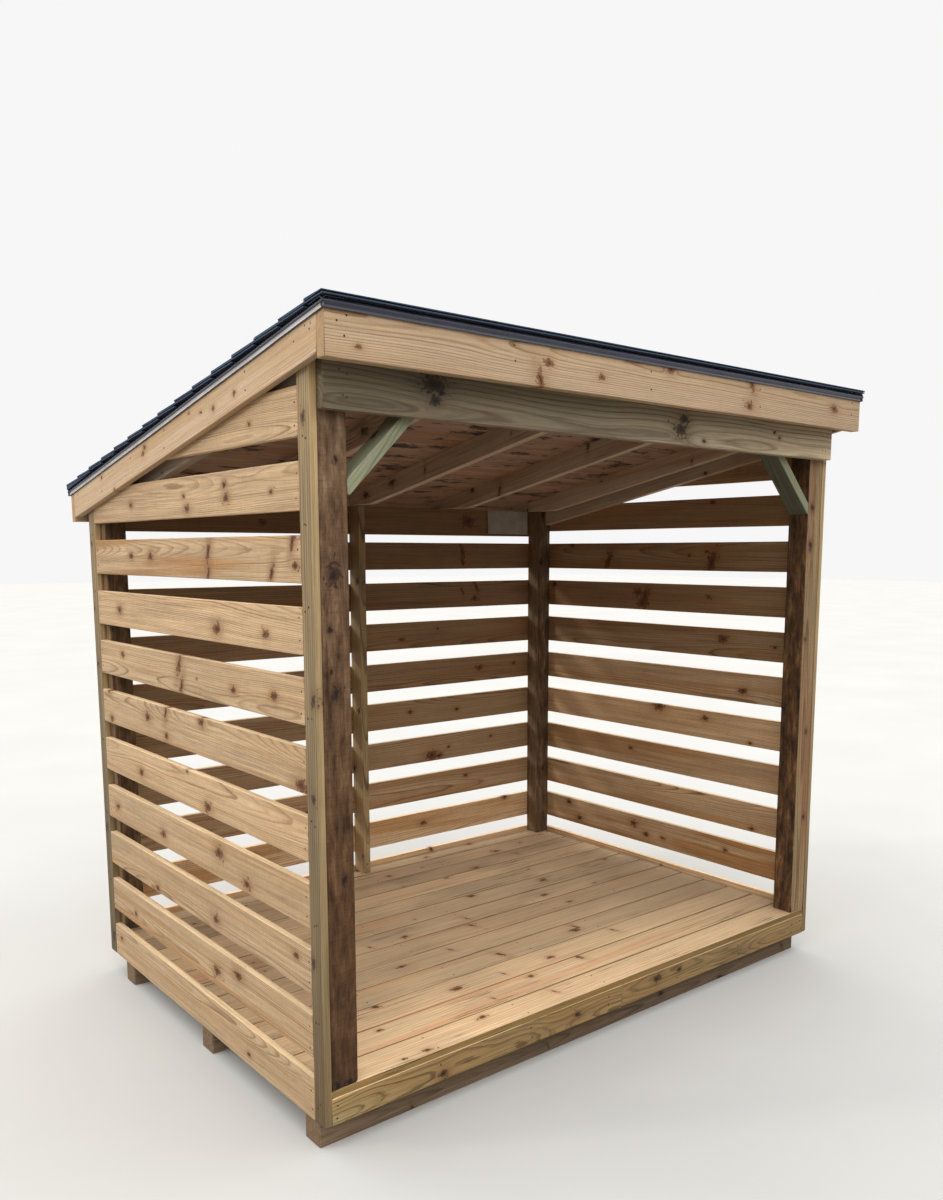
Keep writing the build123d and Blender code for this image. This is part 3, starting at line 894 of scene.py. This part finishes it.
# Posts, headers and braces
LEFT_POST_TONE = [
    (0.0, (0.5, 0.9, 0.1)), (0.3, (0.7, 0.8, 0.2)), (0.6, (0.93, 0.45, 0.2)), (1.0, (1.2, 0.1, 0.3)),
]
boards("front_left_post", POST, POST_WOOD, 0.006, name="front_left_post_beam", heart=True,
       tone=LEFT_POST_TONE, weather_and_shade=[(-Y, 1.0), (X, 0.9), (-X, 0.8), (Y, 0.8)], knots=LEFT_POST_KNOTS)
boards("front_right_post", POST, STAINED_POST_WOOD, 0.006, name="front_right_post_beam",
       heart=True, tone=(0.98, 0.5, 0.2), spread=0.0, weather_and_shade=[(-X, 1.0), (Y, 0.9)], knots=RIGHT_POST_KNOTS)
for side in ("left", "right"):
    boards(f"back_{side}_post", POST, STAINED_POST_WOOD, 0.005, name=f"back_{side}_post_beam",
           heart=True, tone=(0.85, 0.5, 0.5), weather_and_shade=[(-Y, 0.85), (-X, 0.5), (X, 0.5)])
STUD = boards("back_middle_stud", UPRIGHT, STUD_WOOD, bow=0.0006, quarter=True, near=0.02,
              tone=[(0.0, (1.0, 0.2, 0.4)), (0.6, (0.9, 0.3, 0.3)), (1.0, (0.72, 0.3, 0.3))], far=0.035,
              ring=(0.009, 0.012))
for vert in STUD.data.vertices:
    vert.co.x -= STUD_LEAN
HEADER_TONE = [
    (0.0, (0.82, 0.4, 0.6)), (0.35, (0.98, 0.4, 0.6)), (0.6, (1.3, 0.4, 0.3)), (1.0, (2.0, 0.3, 0.1)),
]
boards("front_header", ALONG_X, HEADER_WOOD, knots=HEADER_KNOTS, ring=(0.012, 0.014),
       tone=HEADER_TONE, pith_at=(-0.045, 0.03))
# Painted shade on the back header's inner face
boards("back_header", ALONG_X, SLAT_WOOD, slot="header_wood", tone=(0.84, 0.5, 0.3), ring=(0.007, 0.009),
       knots=BACK_HEADER_KNOTS, weather_and_shade=[(-Y, 1.0)])
boards("left_brace", (DIAGONAL, Y, ANTIDIAGONAL), BRACE_WOOD, bow=0.0004,
       tone=(1.02, 0.1, 0.5), spread=0.0)
# Painted shade on the right brace's underside and inner faces
boards("right_brace", (ANTIDIAGONAL, Y, DIAGONAL), BRACE_WOOD, bow=0.0004,
       tone=(0.80, 0.1, 0.6), spread=0.0, weather_and_shade=[(-X - Z, 0.85), (-Z, 0.8), (-X, 0.8)])

# Roof timber
for side, shade in (("left", 0.5), ("right", 0.85)):
    boards(f"{side}_end_rafter", RAFTER, RAFTER_WOOD, bow=0.0006, tone=(shade, 0.8, 0.3))
    boards(f"{side}_barge_board", RAFTER, BARGE_WOOD, 0.0035, 0.0006, f"{side}_barge_plank",
           tone=(0.92, 0.5, 0.1), spread=0.03, knots=BARGE_KNOTS, ring=(0.0035, 0.0055),
           pith_at=(-0.08, 0.07))
for number in range(1, 5):
    boards(f"rafter_{number}", RAFTER, RAFTER_WOOD, bow=0.0006)
boards("front_fascia", ALONG_X, FASCIA_WOOD, bow=0.0006, knots=FASCIA_KNOTS,
       tone=[(0.0, (0.95, 0.3, 0.1)), (0.6, (0.90, 0.3, 0.1)), (1.0, (0.79, 0.3, 0.1))],
       ring=(0.0050, 0.0058), pith_at=(0.05, 0.045))
boards("back_fascia", ALONG_X, FASCIA_WOOD, bow=0.0006)
boards("roof_sheathing", ROOF_PLANE, SHEATHING_WOOD, 0.001, 0.0, "roof_sheathing_panel",
       spacing=0.4, near=0.05, far=0.3, ring=(0.012, 0.014))


# Roof covering

SHEATHING_THICK = 0.018
SHEATHING_LIFT = ROOF_LIFT + SHEATHING_THICK
SHEATHING_LOW, SHEATHING_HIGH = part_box("roof_sheathing")
SHINGLE_LOW, SHINGLE_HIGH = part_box("roof_shingles")
# Heights over the sheathing: each course of the CAD solid rises to COURSE_LIFT at its lower edge,
# and the course drawn on it has its underside at COURSE_EDGE there
COURSE_PITCH = 0.1478
COURSE_LIFT = 0.016
COURSE_RISE = COURSE_LIFT / (2 * COURSE_PITCH)
COURSE_EDGE = 0.0165
# One laminate with its bedding, and the sheets drawn in it: the backing below, the tabs over it
LAMINATE = 0.004
BACKING_BODY = LAMINATE - 0.0003
TAB_BODY = LAMINATE - 0.0006
LAYER_GAP = 0.0002
TOP_OF_COURSE = COURSE_LIFT + LAMINATE + LAYER_GAP
# Two starter layers lie under the lowest course
STARTER_LIFT = 0.008
STARTER_DEPTH = 0.30
STARTER_BODY = 0.0075
# Tabs and the gaps between them, along a course
TAB_WIDTHS = (0.10, 0.24)
NARROWEST_TAB = 0.09
TAB_GAPS = (0.003, 0.07, 0.11, 0.15)
LAST_TAB = 0.10
# The top stays this far under the CAD solid's highest point
TOP_MARGIN = 0.0002


def roof_height(y, lift=0.0):
    """Height of the sheathing's top at y, plus a lift straight up."""
    return SHEATHING_LIFT - SLOPE * (y - FRONT_PLANE) + lift


def lerp(a, b, share):
    return a + (b - a) * share


def laid(build, rng, x0, x1, y0, y1, low0, low1, thick, columns, rows=2, ragged=0.0012):
    """A thin layer on the roof between y0 (upper) and y1 (lower), with a slightly ragged outline."""
    seed = rng.random()
    top = []
    bottom = []
    for row in range(rows + 1):
        share = row / rows
        for column in range(columns + 1):
            x = lerp(x0, x1, column / columns)
            if column in (0, columns):
                inward = abs(rng.gauss(0, ragged))
                x += inward if column == 0 else -inward
            y = lerp(y0, y1, share)
            if row == rows:
                y -= abs(rng.gauss(0, ragged))
            lift = lerp(low0, low1, share) + 0.0009 * noise.noise(Vector((x * 5.0, y * 9.0, seed)))
            bottom.append(Vector((x, y, roof_height(y, lift))))
            top.append(Vector((x, y, min(roof_height(y, lift + thick), SHINGLE_HIGH[2] - TOP_MARGIN))))
    count = len(bottom)
    wide = columns + 1
    faces = sheet_faces(columns, rows)
    flat = len(faces)
    for a in range(columns):
        b = rows * wide + a
        faces += [(a, a + 1, count + a + 1, count + a), (b + 1, b, count + b, count + b + 1)]
    for a in range(0, rows * wide, wide):
        b = a + columns
        faces += [(a + wide, a, count + a, count + a + wide), (b, b + wide, count + b + wide, count + b)]
    build.add(bottom + top, faces, [0.0] * flat + [1.0] * (len(faces) - flat), seed=seed)


def shingles():
    """Laminated shingles: each course is a backing layer with broader and narrower tabs on its face."""
    rng = random.Random("shingles")
    build = Build()
    left, right = SHINGLE_LOW[0], SHINGLE_HIGH[0]
    front, back = SHINGLE_LOW[1], SHINGLE_HIGH[1]

    def tab(x0, x1):
        laid(build, rng, x0, x1, exposed, low_edge - drop, face_low + LAYER_GAP, TOP_OF_COURSE, TAB_BODY, 4,
             rows=1, ragged=0.0008)

    for layer in range(2):
        lift = STARTER_LIFT * layer + 0.0021
        laid(build, rng, left + 0.002, right - 0.002, back - STARTER_DEPTH, back - 0.002 * layer, lift, lift,
             STARTER_BODY, 60)
    low_edge = back
    course = 0
    while low_edge > front:
        upper = max(low_edge - 2 * COURSE_PITCH, front)
        upper_lift = COURSE_LIFT - COURSE_RISE * (low_edge - upper) + 0.0022
        laid(build, rng, left, right, upper, low_edge, upper_lift, COURSE_EDGE, BACKING_BODY, 70, rows=3)
        exposed = max(low_edge - COURSE_PITCH - 0.01, front)
        face_low = COURSE_LIFT - COURSE_RISE * (low_edge - exposed) + LAMINATE
        x = left
        while x < right - 0.01:
            stop = min(x + rng.uniform(*TAB_WIDTHS), right)
            if right - stop < NARROWEST_TAB:
                stop = right
            drop = rng.uniform(0.0, 0.003)
            tab(x, stop)
            x = stop + rng.choice(TAB_GAPS)
            if right - x < LAST_TAB and stop < right:
                tab(right - LAST_TAB, right)
                x = right
        course += 1
        low_edge = back - course * COURSE_PITCH
    build.piece("shingle_courses", SHINGLE_GRIT, ["roof_shingles"], "shingle")


# Folded sheet seen from its end: outward from the sheathing's edge, and up from its top
DRIP_PROFILE = [
    (-0.060, 0.0018), (-0.002, 0.0018), (0.0010, 0.0012), (0.0080, -0.0074), (0.0094, -0.0096),
    (0.0092, -0.0112), (0.0050, -0.0136), (0.0042, -0.0155), (0.0042, -0.0225), (0.0062, -0.0258),
]
SHEET = 0.0009
# The side folds start and stop this far outside the sheathing's front and back edges
SIDE_OVERRUN = 0.0088
DRIP_STEPS = 40
# Faces of the profile painted light along the lower fold: a painted highlight for the sky's reflection
HIGHLIGHT_FACES = (6, 7, 8)
FOLD_ANGLE = math.radians(50)


def drip(name, place, start, stop, node, wear_and_highlight=0.0):
    """A drip edge swept from start to stop along one edge; place(out, run, up) gives the point.

    The last argument sets how strongly its lower strip is painted light, as a painted highlight.
    """
    rng = random.Random(name)
    seed = rng.uniform(0, 9)
    ring = DRIP_PROFILE + [(out - SHEET, up - SHEET) for out, up in reversed(DRIP_PROFILE)]
    count = len(ring)
    points = []
    for step in range(DRIP_STEPS + 1):
        run = lerp(start, stop, step / DRIP_STEPS)
        for out, up in ring:
            sway = 0.0005 * noise.noise(Vector((run * 4.0, seed, out * 30)))
            points.append(place(out + sway, run, up + sway))
    faces = tube_faces(count, DRIP_STEPS)
    faces.append(tuple(range(count))[::-1])
    faces.append(tuple(DRIP_STEPS * count + i for i in range(count)))
    strip = [wear_and_highlight if i in HIGHLIGHT_FACES else 0.0 for i in range(count)] * DRIP_STEPS + [0.0, 0.0]
    build = Build()
    build.add(points, faces, smooth=[True] * (len(faces) - 2) + [False, False], edge=strip, seed=seed)
    obj = build.piece(name, DRIP_METAL, [node], "drip_metal")
    obj.data.set_sharp_from_angle(angle=FOLD_ANGLE)


def drips():
    left, front = SHEATHING_LOW[:2]
    right, back = SHEATHING_HIGH[:2]
    for side, edge, way in (("front", front, -1), ("back", back, 1)):
        low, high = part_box(f"{side}_drip_edge")
        drip(f"{side}_drip_fold",
             lambda o, r, u: Vector((r, edge + way * o, roof_height(edge + way * o, u))),
             low[0], high[0], f"{side}_drip_edge")
    # The side folds carry the painted highlight strip
    for side, edge, way in (("left", left, -1), ("right", right, 1)):
        drip(f"{side}_drip_fold", lambda o, r, u: Vector((edge + way * o, r, roof_height(r, u))),
             front - SIDE_OVERRUN, back + SIDE_OVERRUN, f"{side}_drip_edge", wear_and_highlight=1.0)


shingles()
drips()


# Nails, screws and the blank card, placed in millimetres

HEAD_SIDES = 10
WALL_ROWS, BACK_ROWS, DECK_ROWS = 11, 9, 13
SLAT_LIFTS = (36, 103)
TRIM_NAILS = (60, 330, 640, 960, 1290, 1600, 1849, 2085)
# The back corner trims end under the roof's lower side
BACK_TRIM_TOP = 1990
# The walls' top at the front plane, from the rim's bottom
WALL_TOP = 2370
DECK_BOARD_PITCH = 144.7
JOIST_PITCH = 406.4
FIRST_JOIST = 44.4
DECK_SURFACE = 114.4
# The fascia's nails as x and height, the barge board's as depth and height
FASCIA_NAILS = (
    (46, 2398), (15, 2381), (38, 2344), (645, 2395), (650, 2350), (1275, 2386), (1277, 2326), (1907, 2323),
    (1903, 2388), (2557, 2397), (2554, 2349),
)
# How far in front of the front plane and behind the back one the fascias' faces are
FASCIA_FACE = 134
BACK_FASCIA_FACE = 135
# The back fascia stands this much lower
ROOF_FALL = 400
BARGE_NAILS = (
    (-35, 2378), (-67, 2380), (-59, 2366), (28, 2346), (330, 2251), (330, 2305), (644, 2218), (960, 2190),
    (966, 2130), (1290, 2118), (1610, 2065), (1612, 2010), (1905, 2008), (1925, 1958),
)
HEADER_FACE = 38
BACK_HEADER_FACE = 12.6
# Slats, trims and barge boards are this thick
SLAT_THICK = 25.4


def head(build, rng, place, normal, radius=0.0032, proud=0.0006, dish=0.0007):
    """A nail head: a shallow dished disc seated in the face it holds."""
    side = normal.orthogonal().normalized()
    other = normal.cross(side)
    tilt = rng.uniform(0, math.pi)
    lean = side * rng.uniform(-0.05, 0.05) + other * rng.uniform(-0.05, 0.05)
    rings = ((1.0, -0.0016), (1.0, proud * 0.5), (0.86, proud), (0.5, proud - dish * 0.5))
    points = []
    for size, height in rings:
        for i in range(HEAD_SIDES):
            angle = tilt + 2 * math.pi * i / HEAD_SIDES
            flat = (side * math.cos(angle) + other * math.sin(angle)) * radius * size
            points.append(place + flat + normal * (height + flat.dot(lean)))
    points.append(place + normal * (proud - dish))
    faces = tube_faces(HEAD_SIDES, len(rings) - 1)
    last = (len(rings) - 1) * HEAD_SIDES
    faces += [(last + i, last + (i + 1) % HEAD_SIDES, last + HEAD_SIDES) for i in range(HEAD_SIDES)]
    build.add(points, faces, smooth=[True] * len(faces), seed=rng.random())


def at(x, y, z):
    """A point given in millimetres from the left wall, the front plane and the floor rim's bottom."""
    return Vector((LEFT_WALL + x / 1000, FRONT_PLANE + y / 1000, RIM_BOTTOM + z / 1000))


WIDE = (RIGHT_WALL - LEFT_WALL) * 1000
DEEP = (BACK_PLANE - FRONT_PLANE) * 1000
JOISTS = [FIRST_JOIST + JOIST_PITCH * i for i in range(7)] + [WIDE - FIRST_JOIST]


def wall_nails(rng):
    build = Build()
    for row in range(WALL_ROWS):
        for lift in SLAT_LIFTS:
            z = row * SLAT_PITCH * 1000 + lift + rng.uniform(-9, 9)
            for y in (79, DEEP - 86):
                y += rng.uniform(-5, 5)
                if z <= WALL_TOP - SLOPE * y - 12:
                    head(build, rng, at(0, y, z), -X)
                    head(build, rng, at(WIDE, y, z), X)
            if row < BACK_ROWS:
                for x in (66, WIDE / 2, WIDE - 66):
                    head(build, rng, at(x + rng.uniform(-9, 9), DEEP, z), Y)
    for z in TRIM_NAILS:
        for y in (24, 42):
            for x, normal in ((0, -X), (WIDE, X)):
                head(build, rng, at(x, y + rng.uniform(-6, 6), z + rng.uniform(-12, 12)), normal)
                back_y = DEEP - 64 + y + rng.uniform(-6, 6)
                if z < BACK_TRIM_TOP:
                    head(build, rng, at(x, back_y, z + rng.uniform(-12, 12)), normal)
    build.piece("wall_nails", NAIL_METAL)


def deck_nails(rng):
    build = Build()
    for board in range(DECK_ROWS):
        middle = -6 + DECK_BOARD_PITCH * board + 69.85
        for x in JOISTS:
            for y in (middle - 42, middle + 42):
                if y < DEEP - 40:
                    place = at(x + rng.uniform(-7, 7), y + rng.uniform(-6, 6), DECK_SURFACE)
                    head(build, rng, place, Z, radius=0.0034, proud=0.0002)
    build.piece("deck_nails", NAIL_METAL)


def roof_nails(rng):
    build = Build()
    for x, z in FASCIA_NAILS:
        head(build, rng, at(x, -FASCIA_FACE, z), -Y)
        head(build, rng, at(x, DEEP + BACK_FASCIA_FACE, z - ROOF_FALL), Y)
    for y, z in BARGE_NAILS:
        head(build, rng, at(-SLAT_THICK, y, z), -X)
        head(build, rng, at(WIDE + SLAT_THICK, y, z), X)
    for x in (84, 105, WIDE - 92, WIDE - 66):
        for z in (2201, 2268):
            head(build, rng, at(x + rng.uniform(-8, 8), -HEADER_FACE, z + rng.uniform(-8, 8)), -Y)
    head(build, rng, at(383, -HEADER_FACE, 2190), -Y)
    for x in (84, WIDE / 2, WIDE - 84):
        for z in (1890, 1962):
            head(build, rng, at(x + rng.uniform(-8, 8), DEEP + BACK_HEADER_FACE, z + rng.uniform(-8, 8)), Y)
    build.piece("roof_nails", NAIL_METAL)


def frame_screws(rng):
    build = Build()
    for x in JOISTS:
        for z in (26, 62):
            head(build, rng, at(x + rng.uniform(-6, 6), 0, z + rng.uniform(-5, 5)), -Y)
    for x in (44, 91):
        head(build, rng, at(x, 0, 167), -Y, radius=0.0062, proud=0.0001, dish=0.0016)
        head(build, rng, at(WIDE - x, 0, 159), -Y, radius=0.0055, proud=0.0001, dish=0.0016)
    stud_face = DEEP - SLAT_THICK - 89
    for x, z in ((1303, 178), (1290, 162)):
        head(build, rng, at(x, stud_face, z), -Y, radius=0.0045)
    build.piece("frame_screws", NAIL_METAL)


CARD_CORNER = at(2168, 1837.2, 1869)
CARD_WIDE, CARD_TALL, CARD_THICK = 0.295, 0.129, 0.0005
# Staples as shares of the card's width and height
STAPLES = ((0.06, 0.9), (0.5, 0.93), (0.94, 0.9), (0.07, 0.1), (0.93, 0.12))
STAPLE_HALF = 0.006
WIRE = ((-0.0006, 0.0), (0.0006, 0.0), (0.0006, 0.0008), (-0.0006, 0.0008))
STAPLE_BENDS = ((-1, 0.004), (-1, 0.0), (-0.9, -0.0006), (0.9, -0.0006), (1, 0.0), (1, 0.004))


def card():
    """A blank slip of card on the back header, a little curled at its free corners."""
    columns, rows = 24, 10
    points = []
    for layer in (0.0, CARD_THICK):
        for row in range(rows + 1):
            for column in range(columns + 1):
                a, b = column / columns, row / rows
                curl = 0.010 * max(0.0, abs(2 * a - 1) - 0.55) ** 2 * (1.6 - b) * 3
                wave = 0.0012 * noise.noise(Vector((a * 3, b * 2, 4.0)))
                out = -0.0012 - curl - wave - layer
                place = Vector((a * CARD_WIDE + 0.002 * b, out, b * CARD_TALL - 0.002 * a))
                points.append(CARD_CORNER + place)
    faces = sheet_faces(columns, rows)
    build = Build()
    build.add(points, faces, smooth=[True] * len(faces), seed=0.5)
    build.piece("blank_card", CARD_PAPER)


def staples(rng):
    build = Build()
    for a, b in STAPLES:
        middle = CARD_CORNER + Vector((a * CARD_WIDE, -0.0030, b * CARD_TALL))
        turn = rng.uniform(-0.5, 0.5)
        along = X * math.cos(turn) + Z * math.sin(turn)
        across = Z * math.cos(turn) - X * math.sin(turn)
        points = [
            middle + along * STAPLE_HALF * share + across * off + Y * (depth - up)
            for share, depth in STAPLE_BENDS for off, up in WIRE
        ]
        build.add(points, tube_faces(len(WIRE), len(STAPLE_BENDS) - 1), seed=0.2)
    build.piece("card_staples", NAIL_METAL)


NAIL_DRAWS = random.Random("nails")
for fixings in (wall_nails, deck_nails, roof_nails, frame_screws):
    fixings(NAIL_DRAWS)
card()
staples(random.Random("staples"))


# Stage, light and camera

def floor():
    mesh = bpy.data.meshes.new("studio_floor")
    bm = bmesh.new()
    bmesh.ops.create_grid(bm, x_segments=8, y_segments=8, size=60.0)
    bm.to_mesh(mesh)
    bm.free()
    t = fresh("studio_floor")
    path = t.add("ShaderNodeLightPath")
    seen = t.math("MAXIMUM", path.outputs["Is Camera Ray"], path.outputs["Is Glossy Ray"])
    seen = t.math("MAXIMUM", seen, path.outputs["Is Transmission Ray"])
    dust = t.noise(t.place(), scale=0.8, detail=3.0)
    pale = t.ramp(dust, [(0.2, (0.49, 0.49, 0.49)), (0.8, (0.53, 0.53, 0.525))])
    colour = t.mix(seen, (0.17, 0.16, 0.14), pale)
    mesh.materials.append(t.surface(Base_Color=colour, Roughness=0.95, Specular_IOR_Level=0.0))
    link("studio_floor", mesh)


def background(t, colour, strength=1.0):
    return t.add("ShaderNodeBackground", (colour, strength)).outputs[0]


def world():
    """An overcast sky that lights the store, and a pale grey that the camera sees in its place."""
    studio = bpy.data.worlds.new("studio")
    bpy.context.scene.world = studio
    t = Tree(studio)
    seen = t.add("ShaderNodeLightPath").outputs["Is Camera Ray"]
    direction = t.place("Generated")
    up = t.split(direction)[2]
    overcast = t.muladd(t.math("MAXIMUM", up, 0.0), 0.30, t.step(up, 0.0, 0.5, 0.10, 0.70))
    toward = t.vector("DOT_PRODUCT", direction, (-0.66, -0.10, 0.30))
    side = t.step(toward, -0.7, 0.7, 0.80, 1.08)
    light = t.vector("SCALE", (1.0, 0.985, 0.95), scale=t.mul(overcast, side))
    shaders = (seen, background(t, light, 2.2), background(t, (0.93, 0.93, 0.93)))
    t.add("ShaderNodeOutputWorld", (t.add("ShaderNodeMixShader", shaders).outputs[0],))


def lamps():
    sun = bpy.data.lights.new("veiled_sun", "SUN")
    sun.energy = 0.6
    sun.angle = math.radians(6.0)
    sun.color = (1.0, 0.93, 0.82)
    shining = Vector((1.0, -0.6, -0.42))
    link("veiled_sun", sun).rotation_euler = shining.to_track_quat("-Z", "Y").to_euler()


# The photograph's camera, fitted in its pixels
PICTURE = (943, 1200)
FOCAL = 1007.96
OPTICAL_CENTRE = (486.13, 693.25)
CAMERA_PLACE = (-2.7608, -3.4840, 1.8562)
CAMERA_DOWN, CAMERA_TURN = 0.139, 0.691
SENSOR = 36.0


def camera():
    data = bpy.data.cameras.new("photo_view")
    data.sensor_width = SENSOR
    data.lens = SENSOR * FOCAL / PICTURE[1]
    data.shift_x = (PICTURE[0] / 2 - OPTICAL_CENTRE[0]) / PICTURE[1]
    data.shift_y = (OPTICAL_CENTRE[1] - PICTURE[1] / 2) / PICTURE[1]
    obj = link("photo_view", data)
    obj.location = CAMERA_PLACE
    obj.rotation_euler = (math.pi / 2 - CAMERA_DOWN, 0.0, -CAMERA_TURN)
    bpy.context.scene.camera = obj


floor()
world()
lamps()
camera()
bpy.context.scene.view_settings.view_transform = "Standard"
